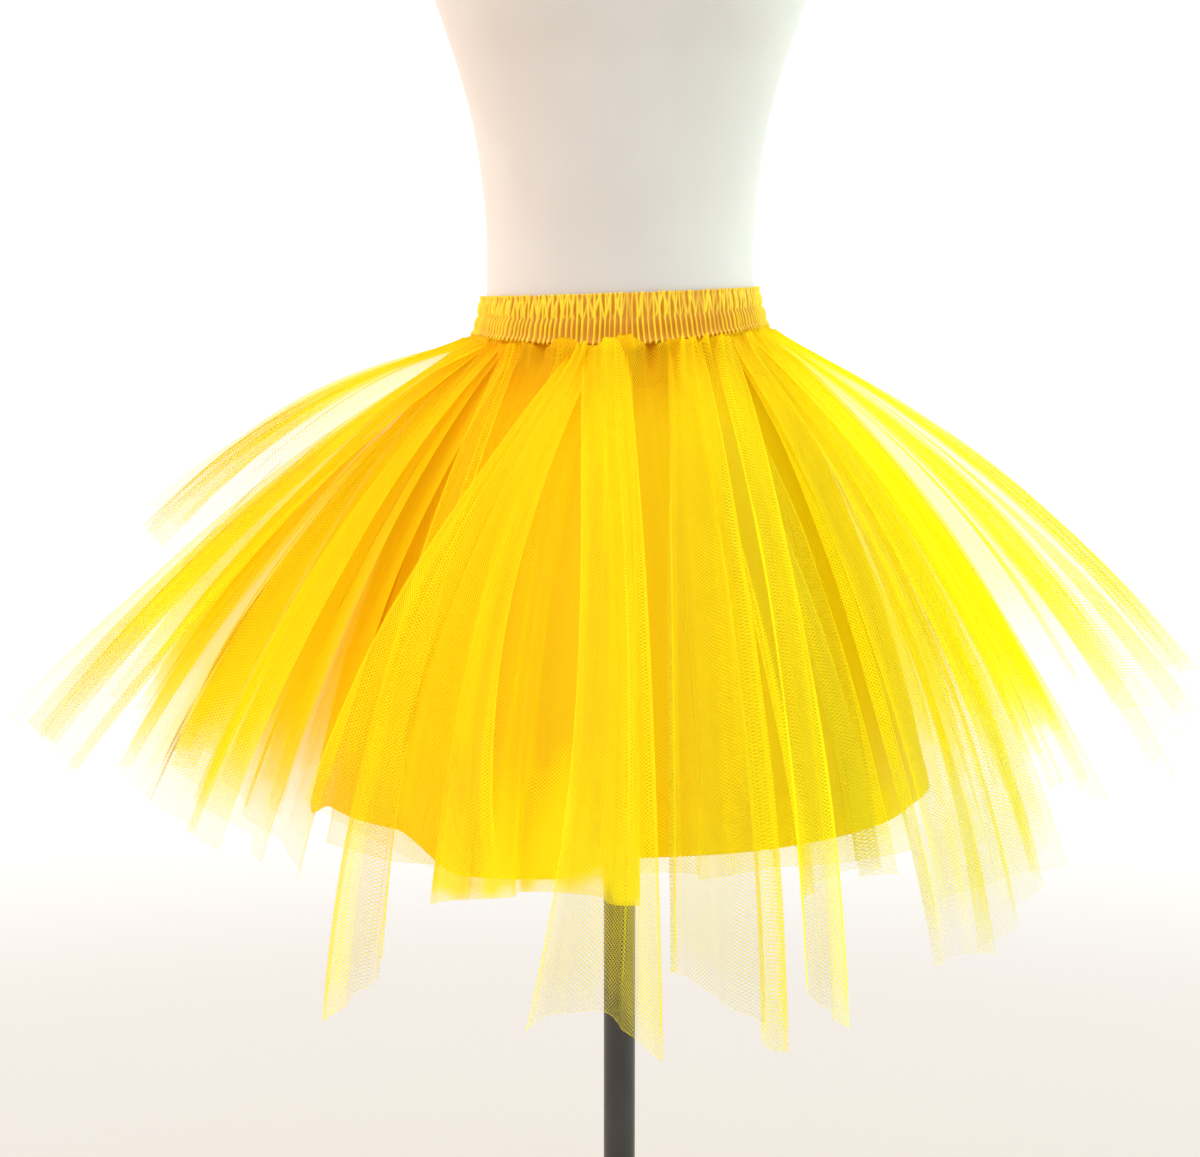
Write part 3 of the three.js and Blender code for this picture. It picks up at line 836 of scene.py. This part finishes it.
class SKIRT_OT_form(bpy.types.Operator):
    """Build the padded torso of the dress form"""

    bl_idname = "skirt.form"
    bl_label = "Dress form"

    def execute(self, context):
        low, high = FORM_SECTIONS[0, 0], FORM_SECTIONS[-1, 0]
        columns = FORM_COLUMNS
        azimuth = np.linspace(0, 360, columns, endpoint=False)[None, :]
        heights = np.linspace(low, high, FORM_LINES)[:, None]
        wall = form_points(azimuth, heights + 0 * azimuth)
        rings = [self.rolled(wall[0], low, 9, 1 - t, 1) for t in np.linspace(0, 1, 7)[:-1]]
        rings += list(wall[3:-2])
        rings += [self.rolled(wall[-1], high, 4, t, -1) for t in np.linspace(0, 1, 6)[1:]]
        points = np.array(rings)
        rows = len(points)
        faces = [face[::-1] for face in grid_faces(rows, columns, closed=True)]
        centre_low, centre_high = points[0].mean(axis=0), points[-1].mean(axis=0)
        for column in range(columns):
            beside = (column + 1) % columns
            faces.append([rows * columns, beside, column])
            faces.append([rows * columns + 1, (rows - 1) * columns + column, (rows - 1) * columns + beside])
        vertices = np.vstack([points.reshape(-1, 3), centre_low, centre_high])
        torso = add_mesh("dress_form", vertices, faces)
        torso.data.materials.append(form_finish(context.scene.skirt_form))
        declare(torso, "form_cover", "form_torso")
        return {"FINISHED"}

    def rolled(self, ring, end, radius, share, upward):
        """Ring of the rounded edge at an end of the form. The share goes from the wall to the flat end."""
        turn = share * math.pi / 2
        centre = ring.mean(axis=0)
        inward = (ring - centre) / np.linalg.norm(ring - centre, axis=-1, keepdims=True)
        rolled = ring - inward * radius * (1 - math.cos(turn))
        rolled[:, 2] = end + upward * radius * (1 - math.sin(turn))
        return rolled


class SKIRT_OT_stand(bpy.types.Operator):
    """Build the pole and the round base"""

    bl_idname = "skirt.stand"
    bl_label = "Stand"

    def execute(self, context):
        finish = metal_finish(context.scene.skirt_form)
        low, high = SOCKET_FLOOR + SEAM_GAP, FORM_SECTIONS[0, 0] - SEAM_GAP
        profile = (
            (0, low, 0),
            (POLE_RADIUS, low, 0.5),
            (POLE_RADIUS, high, 0.5),
            (0, high, 0),
        )
        pole = lathe("pole", profile, 64)
        base = lathe("round_base", BASE_PROFILE, 96)
        for piece, node in ((pole, "stand_pole"), (base, "stand_base")):
            piece.data.materials.append(finish)
            declare(piece, "stand_metal", node)
        return {"FINISHED"}


class SKIRT_OT_waistband(bpy.types.Operator):
    """Build the shirred satin waistband"""

    bl_idname = "skirt.waistband"
    bl_label = "Waistband"

    # Rows of the band's section from inside its lower edge, over its face, to inside its top edge:
    # height above the lower edge, thickness outside the form, and depth of the gathers there.
    ROWS = (
        (1.5, 2.0, 0.0),
        (0.2, 6.0, 0.6),
        (-0.8, 10.2, 1.6),
        (0.4, 11.4, 2.2),
        (2.6, 10.4, 2.2),
        (4.4, 9.2, 1.6),
        (6.5, 8.8, 2.0),
        (9.0, 8.5, 2.6),
        (13.0, 8.0, 2.8),
        (17.0, 7.3, 2.5),
        (19.6, 6.4, 1.7),
        (21.0, 5.9, 1.2),
        (22.4, 6.0, 1.6),
        (25.0, 6.2, 2.2),
        (30.0, 5.9, 2.2),
        (35.0, 5.3, 2.0),
        (37.6, 4.6, 1.2),
        (39.0, 4.6, 1.3),
        (41.0, 4.8, 1.8),
        (42.4, 4.4, 1.4),
        (42.0, 2.6, 0.4),
        (39.0, 1.4, 0.0),
    )

    def execute(self, context):
        settings = context.scene.skirt_cloth
        random = np.random.default_rng(4)
        columns = BAND_COLUMNS
        rows = np.array(self.ROWS)
        fine = np.linspace(0, len(rows) - 1, BAND_LINES)
        whole = np.arange(len(rows))
        up, thick, deep = (np.interp(fine, whole, rows[:, key])[:, None] for key in range(3))
        share = np.linspace(0, 1, columns, endpoint=False)[None, :]
        azimuth = share * 360
        girth = 2 * np.pi * WAIST_RADIUS
        count = round(girth / (settings.gather_pitch * 1000))
        ridge = self.ridges(random, share, up, count)
        raised = rise_at(azimuth) * (1 - up / BAND_HEIGHT)
        frill = np.clip(0.7 + 0.9 * ripple(random, share, 0 * up, 45, 0, 9), 0, 1.6)
        ruffle = (smooth(38, 42, up) - 1.5 * frill * smooth(4, 0, up)) * (ridge - 0.4) * 1.8
        z = BAND_TOP - BAND_HEIGHT + up + raised + tilt_at(azimuth) + ruffle
        points = form_points(azimuth, z, thick + 1.25 * deep * (ridge - 0.4))
        points[..., 2] = z
        faces = [face[::-1] for face in grid_faces(len(points), columns, closed=True)]
        cloth = np.stack(np.broadcast_arrays(share * girth / 1000, up / 1000), axis=-1)
        weight = np.stack(np.broadcast_arrays(ridge, up / BAND_HEIGHT), axis=-1)
        band = add_mesh("waistband_satin", points, faces, {"cloth": cloth, "weight": weight})
        band.data.materials.append(band_finish(settings))
        declare(band, "satin_band", "waistband")
        return {"FINISHED"}

    def ridges(self, random, share, up, count):
        """Narrow ridges from 0 to 1, which lean and fork in the upper channel and are straighter below."""
        wander = ripple(random, share, up / 60, 34, 0.8, 9)
        lean = ripple(random, share, up / 60, 26, 1.6, 9)
        steady = 2 * np.pi * count * share + 2.0 * wander
        lower = (0.5 + 0.5 * np.cos(steady + 0.5 * np.cos(steady))) ** 2.2
        one = (0.5 + 0.5 * np.cos(steady + 0.7 * lean * smooth(18, 30, up))) ** 2.2
        forks = round(count * 0.62)
        two = (0.5 + 0.5 * np.cos(2 * np.pi * forks * share + 2.2 * lean - 0.16 * (up - 21))) ** 3
        three = (0.5 + 0.5 * np.cos(2 * np.pi * (forks - 9) * share + 2.0 * wander + 0.15 * (up - 21))) ** 3
        upper = np.maximum(one, np.maximum(0.85 * two, 0.75 * three))
        uneven = np.clip(0.8 + 0.4 * ripple(random, share, up / 80, 60, 1.0, 9), 0.3, 1.15)
        return np.clip(lerp(lower, upper, smooth(19, 24, up)) * uneven, 0, 1)


class SKIRT_OT_lining(bpy.types.Operator):
    """Build the two halves of the satin lining"""

    bl_idname = "skirt.lining"
    bl_label = "Lining"

    def execute(self, context):
        finish = lining_finish(context.scene.skirt_cloth)
        for name, node, start in (
            ("lining_satin_front", "lining_front", -90),
            ("lining_satin_back", "lining_back", 90),
        ):
            random = np.random.default_rng(101 + start)
            u = np.linspace(0, 1, LINING_COLUMNS)[None, :]
            t = np.linspace(0, 1, LINING_LINES)[:, None]
            azimuth = start + 0.1 + 179.8 * u
            around = (azimuth + 180) % 360 - 180
            change = sum(by * smooth(from_, to, around) for from_, to, by in LINING_HEM)
            long = LINING_LENGTH + rise_at(azimuth) + change + 1.5 * ripple(random, u, 0 * u, 3, 0, 4)
            length = t * long
            wave = LINING_WAVE * grown(length) * np.cos(2 * np.pi * LINING_WAVES * u)
            soft = 2.5 * ripple(random, u, t, 4, 0.5, 6) * grown(length)
            gather = 0.5 * np.cos(2 * np.pi * 34 * u + ripple(random, u, t, 5, 1)) * np.exp(-length / 60)
            turned = 0.9 * smooth(LINING_LENGTH - LINING_TURNING, LINING_LENGTH - LINING_TURNING + 1, length)
            points = drape(0, azimuth, length, wave + soft + gather * smooth(0, 6, length) + turned)
            across = u * LINING_WIDTH
            # Painted cooler light: this rises towards the right, where the lining is given a cooler colour.
            painted_cool_light = 0.5 + 0.5 * np.sin(np.radians(azimuth))
            cloth = np.stack(np.broadcast_arrays(across, length / 1000), axis=-1)
            tint = np.stack(np.broadcast_arrays(painted_cool_light, length / LINING_LENGTH), axis=-1)
            piece = add_mesh(name, points, grid_faces(*points.shape[:2]), {"cloth": cloth, "tint": tint})
            piece.data.materials.append(finish)
            declare(piece, "satin_lining", node)
            declare_cut(points)
        return {"FINISHED"}


class SKIRT_OT_tulle(bpy.types.Operator):
    """Build the gathered tulle panels"""

    bl_idname = "skirt.tulle"
    bl_label = "Tulle panels"

    def execute(self, context):
        finish = tulle_finish(context.scene.skirt_cloth)
        for index, panel in enumerate(PANELS):
            points, uv_maps = self.panel_points(panel, np.random.default_rng(100 + index))
            piece = add_mesh("net_" + panel["name"], points, grid_faces(*points.shape[:2]), uv_maps)
            piece.data.materials.append(finish)
            declare(piece, "tulle", "tulle_" + panel["name"])
            declare_cut(points)
        return {"FINISHED"}

    def panel_points(self, panel, random):
        layer = panel["layer"]
        root_radius = girth_radius(layer, panel["from_"], 0.0)
        hem_span = math.radians(panel["right"] - panel["left"])
        root_span = math.radians(panel["to"] - panel["from_"])
        mean_long = (panel["long_left"] + panel["long_right"]) / 2
        hem_wide = hem_span * float(girth_radius(layer, (panel["left"] + panel["right"]) / 2, mean_long))
        root_wide = root_span * float(root_radius)
        behind = abs(panel["left"] + panel["right"]) / 2 > 100
        columns = np.clip(hem_wide / (HEM_STEP_BEHIND if behind else HEM_STEP), FEWEST_COLUMNS, MOST_COLUMNS)
        u = np.linspace(0, 1, int(columns))[None, :]
        t = np.linspace(0, 1, PANEL_LINES)[:, None] ** PANEL_LINES_CROWD
        long = lerp(panel["long_left"], panel["long_right"], u) + panel["middle"] * 4 * u * (1 - u)
        long = long + 2.5 * ripple(random, u, 0 * u, hem_wide / 80, 0, 5)
        length = t * long
        hem = lerp(panel["left"], panel["right"], u)

        def spent(down):
            return 1 - root_radius / girth_radius(layer, hem, down)

        share = spent(length) / spent(long)
        bow = lerp(*BOWED_EDGES.get(panel["name"], (0, 0)), u) * 4 * t * (1 - t)
        azimuth = lerp(lerp(panel["from_"], panel["to"], u), hem, share) + bow
        radius = girth_radius(layer, azimuth, length)
        wide = lerp(root_wide, hem_wide, share * radius / girth_radius(layer, hem, long))
        fold = panel["deep"] * np.cos(2 * np.pi * panel["folds"] * u) * grown(length)
        shift, lift = self.gathers(random, layer, u, t, length, wide, root_wide, hem_wide)
        at_edge = np.minimum(u, 1 - u) * wide
        curl = 4.0 * ripple(random, u, t, 0.2, 1.8, 4) * np.exp(-at_edge / 14) * grown(length)
        points = drape(layer, azimuth + np.degrees(shift / radius), length, fold + lift + curl)
        dome = self.puff(random, points, azimuth, u, length, layer, root_wide)
        cloth_wide = hem_wide * 1.3
        across = np.broadcast_to(u * cloth_wide / 1000, length.shape)
        cloth = np.stack([across, length / 1000], axis=-1)
        edge = np.minimum(np.minimum(u, 1 - u) * cloth_wide, long - length + 1.2) / 1000
        cover = self.cover(random, panel, u, t, wide, hem_wide)
        # A tint above 0 is painted shade and painted warm light: painted shade at the roots, between the
        # domes and on the two inner layers, and painted warm light at the left. Below 0 it is painted cooler
        # light, at the right.
        painted_warm_light = 0.07 - 0.18 * np.sin(np.radians(azimuth))
        tint = painted_warm_light + max(0.0, 0.45 - 0.08 * layer) * np.exp(-length / 70) + (0.04 if layer < 3 else 0.0)
        tint = tint + 0.4 * np.clip(1 - dome, 0, 1) * np.exp(-length / 40)
        at_side = abs(panel["left"] + panel["right"]) / 2 > 45
        usual = (0.35, 130 if layer > 4 else 60) if at_side else (0.6, 34)
        least, fades = HEM_FADES.get(panel["name"], usual)
        whole = lerp(least, 1.0, smooth(0, fades, long - length + 10 * ripple(random, u, t, 9, 2, 6)))
        inside = smooth(0.06, 0.25, u) * smooth(20, 90, length) * (1 - smooth(0.84, 0.9, t))
        whole = whole * (1 - (1 - FAINT_NETS.get(panel["name"], 1.0)) * inside)
        return points, {
            "cloth": cloth,
            "weight": np.stack(np.broadcast_arrays(edge, cover), axis=-1),
            "tint": np.stack(np.broadcast_arrays(tint, whole), axis=-1),
        }

    def cover(self, random, panel, u, t, wide, hem_wide):
        """Share of light stopped besides the threads: by gathers, folded edges, streaks and more plies."""
        mean_long = (panel["long_left"] + panel["long_right"]) / 2
        patch = 0.08 * ripple(random, u, t, 9, 2, 8)
        dense = lerp(panel["dense_left"], panel["dense_right"], smooth(0.12, 0.42, u + 0.05 * patch))
        plies = lerp(dense, panel["sheer"], smooth(-0.09, 0.09, t - panel["thins"] + patch))
        crowd = 1 - 0.72 ** np.maximum(0, np.minimum(0.8, 0.25 + 1.5 * dense) * (hem_wide / wide - 1))
        streak = np.zeros(np.broadcast_shapes(u.shape, t.shape))
        for _ in range(max(5, round(hem_wide / 11))):
            at = random.uniform(0, 1) + random.uniform(-0.03, 0.03) * t
            start, end = random.uniform(-0.2, 0.5), random.uniform(0.6, 1.5)
            size = random.uniform(0.6, 3.4) / hem_wide
            strong = random.uniform(0.04, 0.26) * (0.4 if panel["layer"] > 4 else 1.0)
            strong = strong * smooth(start, start + 0.15, t) * (1 - smooth(end - 0.2, end, t))
            streak = np.maximum(streak, strong * np.exp(-(((u - at) / size) ** 2)))
        turned = 0.0
        for from_edge, turn in ((u, panel["turn_left"]), (1 - u, panel["turn_right"])):
            if turn:
                side = from_edge * hem_wide * 1.3
                across = turn * (0.75 + 0.5 * smooth(0.3, 0.9, t))
                band = 1 - smooth(across - 0.8, across + 0.8, side)
                line = np.exp(-(((side - across) / 0.9) ** 2))
                turned = np.maximum(turned, smooth(0.25, 0.5, t) * np.maximum(0.18 * band, 0.35 * line))
        root = 0.6 * np.exp(-t * mean_long / 45)
        return 1 - (1 - plies) * (1 - crowd) * (1 - streak) * (1 - turned) * (1 - root)

    def puff(self, random, points, azimuth, u, length, layer, root_wide):
        """Swell the roots into small domes over the lower edge of the band, most at the front."""
        count = max(1, round(root_wide / 34))
        turn = 2 * np.pi * (count * (u - 0.5) + 0.25 * ripple(random, u, 0 * u, 3, 0))
        facing = np.cos(np.radians(azimuth))
        dome = (0.5 + 0.5 * np.cos(turn)) ** 0.4 * smooth(0, 0.08, np.minimum(u, 1 - u))
        uneven = np.clip(0.8 + 0.35 * ripple(random, u, 0 * u, 4, 0), 0.3, 1.1)
        dome = dome * uneven * (0.3 + 0.7 * facing**2)
        offset = FIRST_SHEET_AT + SHEET_PITCH * layer
        outward = np.maximum(0, 14.8 + 0.2 * layer - offset - 0.3 * length) * smooth(0, 5, length)
        upward = (18.5 - 0.6 * layer) * smooth(3, 11, length) * np.exp(-np.maximum(0, length - 11) / 16)
        points[..., 0] += outward * dome * np.sin(np.radians(azimuth))
        points[..., 1] -= outward * dome * facing
        points[..., 2] += upward * dome
        return dome

    def gathers(self, random, layer, u, t, length, wide, root_wide, hem_wide):
        """How far the cloth is moved along itself and lifted off itself, so that it folds over in places."""
        shift, lift = 0.0, 0.0
        # Gathers that start under the band and open out within a hand's width.
        count = max(3, round(root_wide / 8))
        pitch = wide / count
        turn = 2 * np.pi * count * u + 1.6 * ripple(random, u, t, 4, 0.6)
        strong = np.exp(-length / 70) * np.clip(0.8 + 0.5 * ripple(random, u, t, 6, 0.6), 0, 1.4)
        shift = shift - 1.2 * strong * pitch / (2 * np.pi) * np.sin(turn)
        lift = lift + np.minimum(2.4, 0.4 * pitch) * strong * np.cos(turn) * smooth(2, 14, length)
        # Long soft folds that grow towards the hem. The outer layers fold over less.
        over = 0.8 if layer < 5 else 0.4
        count = max(1, round(hem_wide / 75))
        pitch = wide / count
        turn = 2 * np.pi * (count + 0.5) * u + 2.4 * ripple(random, u, t, 1.2, 0.5)
        strong = smooth(20, 190, length) * np.clip(0.8 + 0.7 * ripple(random, u, t, 2, 0.6), 0, 1.6)
        shift = shift - over * strong * pitch / (2 * np.pi) * np.sin(turn)
        lift = lift + 5.0 * strong * np.minimum(1, grown(length) * 1.6) * np.cos(turn)
        # Sharp creases, each a narrow fold that runs part of the way down.
        for _ in range(max(2, round(hem_wide / 40))):
            at = random.uniform(0.04, 0.96) + random.uniform(-0.05, 0.05) * t
            size = random.uniform(4, 10) * np.minimum(1, wide / hem_wide * 1.6)
            start, end = random.uniform(-60, 200), random.uniform(260, 700)
            strong = smooth(start, start + 60, length) * (1 - smooth(end - 90, end, length))
            off = (u - at) * wide / size
            window = np.exp(-((off / 0.75) ** 2)) * strong
            shift = shift - 1.6 * size / (2 * np.pi) * np.sin(2 * np.pi * off) * window
            lift = lift + 0.22 * size * np.cos(2 * np.pi * off) * window
        fade = smooth(0, 0.04, np.minimum(u, 1 - u))
        return shift * fade, lift


class SKIRT_PT_panel(bpy.types.Panel):
    """Sizes, colours and steps of the skirt"""

    bl_idname = "SKIRT_PT_panel"
    bl_label = "Tulle skirt"
    bl_space_type = "VIEW_3D"
    bl_region_type = "UI"
    bl_category = "Skirt"

    def draw(self, context):
        for operator in OPERATORS:
            self.layout.operator(operator.bl_idname)
        for group in (context.scene.skirt_cloth, context.scene.skirt_form, context.scene.skirt_studio):
            column = self.layout.column()
            for name in group.__annotations__:
                column.prop(group, name)


OPERATORS = (
    SKIRT_OT_studio,
    SKIRT_OT_form,
    SKIRT_OT_stand,
    SKIRT_OT_waistband,
    SKIRT_OT_lining,
    SKIRT_OT_tulle,
)
GROUPS = {
    "skirt_cloth": TulleSkirtSettings,
    "skirt_form": DressFormSettings,
    "skirt_studio": StudioSettings,
}


def register():
    for group in GROUPS.values():
        bpy.utils.register_class(group)
    for name, group in GROUPS.items():
        setattr(bpy.types.Scene, name, bpy.props.PointerProperty(type=group))
    for operator in OPERATORS:
        bpy.utils.register_class(operator)
    bpy.utils.register_class(SKIRT_PT_panel)


def unregister():
    bpy.utils.unregister_class(SKIRT_PT_panel)
    for operator in reversed(OPERATORS):
        bpy.utils.unregister_class(operator)
    for name, group in GROUPS.items():
        delattr(bpy.types.Scene, name)
        bpy.utils.unregister_class(group)


def main():
    register()
    bpy.ops.skirt.studio()
    bpy.ops.skirt.form()
    bpy.ops.skirt.stand()
    bpy.ops.skirt.waistband()
    bpy.ops.skirt.lining()
    bpy.ops.skirt.tulle()


if __name__ == "__main__":
    main()
